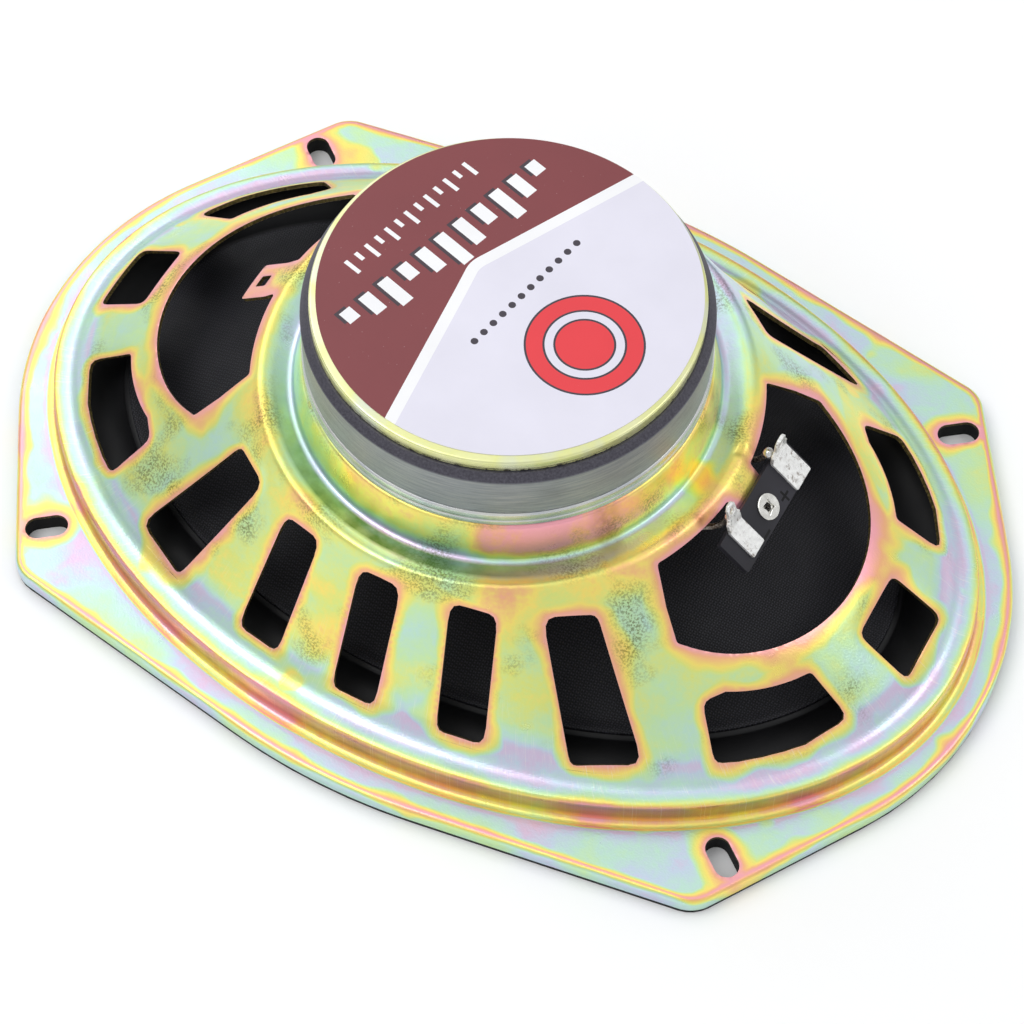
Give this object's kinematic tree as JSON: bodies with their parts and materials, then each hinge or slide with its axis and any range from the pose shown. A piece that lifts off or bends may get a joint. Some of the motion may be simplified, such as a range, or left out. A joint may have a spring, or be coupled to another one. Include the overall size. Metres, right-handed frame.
{
  "type": "coaxial car speaker",
  "caption": "Oval coaxial car speaker lying face down: stamped slotted basket, ring magnet motor, terminal board, sprung cone assembly and a tweeter pod on a post.",
  "frame": {"origin": "centre of the gasket's front face, on the speaker's axis, where the speaker rests when it lies face down", "axes": "+Z from the cone's mouth to the magnet, +X along the oval's long axis towards the terminal board, +Y across it"},
  "size_m": [0.235, 0.1684, 0.0763],
  "materials": {
    "yellow_zinc_steel": "stamped steel, iridescent yellow zinc chromate plating",
    "gasket_foam": "black closed-cell foam",
    "surround_rubber": "matte black butyl",
    "woven_cone": "black injection-moulded cone with a woven relief",
    "spider_cloth": "resin-dipped woven cloth",
    "former_film": "amber polyimide film",
    "copper_wire": "enamelled copper wire",
    "black_glue": "glossy black adhesive",
    "silver_plate": "bright nickel or zinc plate",
    "ferrite": "ground grey ferrite",
    "pale_zinc_steel": "turned steel, pale yellow zinc plating",
    "label_print": "printed film label, lavender white and maroon",
    "board_laminate": "black phenolic board",
    "bright_rivet": "bright plated hollow rivet",
    "tinned_strip": "mottled tin plate",
    "solder": "shiny solder",
    "tinsel_braid": "braided tinsel lead",
    "pod_plastic": "satin black ABS",
    "dome_film": "amber polyimide film",
    "capacitor_sleeve": "dark blue sleeve",
    "lead_sleeve": "black insulated wire"
  },
  "bodies": {
    "frame": {"basket": "yellow_zinc_steel", "front_gasket": "gasket_foam", "surround": "surround_rubber", "spider": "spider_cloth", "top_plate": "silver_plate", "ferrite_magnet": "ferrite", "back_plate": "pale_zinc_steel", "magnet_label": "label_print", "staking_rivets": "silver_plate", "terminal_board": "board_laminate", "terminal_rivet": "bright_rivet", "positive_terminal": "tinned_strip", "negative_terminal": "tinned_strip", "solder_joints": "solder", "positive_lead": "tinsel_braid", "negative_lead": "tinsel_braid", "tweeter_post": "silver_plate", "post_nut": "silver_plate", "tweeter_housing": "pod_plastic", "tweeter_yoke": "silver_plate", "tweeter_magnet": "ferrite", "tweeter_pole_plate": "silver_plate", "tweeter_suspension": "dome_film", "tweeter_face_ring": "pod_plastic", "tweeter_grille": "pod_plastic", "tweeter_capacitor": "capacitor_sleeve", "tweeter_lead_positive": "lead_sleeve", "tweeter_lead_negative": "lead_sleeve"},
    "cone_assembly": {"cone": "woven_cone", "voice_coil_former": "former_film", "voice_coil_winding": "copper_wire", "dust_ring": "surround_rubber", "lead_glue_dabs": "black_glue"},
    "tweeter_diaphragm": {"tweeter_dome": "dome_film", "tweeter_voice_coil": "copper_wire"}
  },
  "joints": [
    {"name": "cone_travel", "type": "slide", "parent": "frame", "child": "cone_assembly", "axis": [0, 0, 1], "range_m": [-0.004, 0.004], "stiffness_N_per_m": 3000, "deforming": ["surround", "spider", "positive_lead", "negative_lead", "tweeter_lead_positive", "tweeter_lead_negative"]},
    {"name": "tweeter_dome_travel", "type": "slide", "parent": "frame", "child": "tweeter_diaphragm", "axis": [0, 0, 1], "range_m": [-0.0003, 0.0003], "stiffness_N_per_m": 2000, "deforming": ["tweeter_suspension"]}
  ]
}
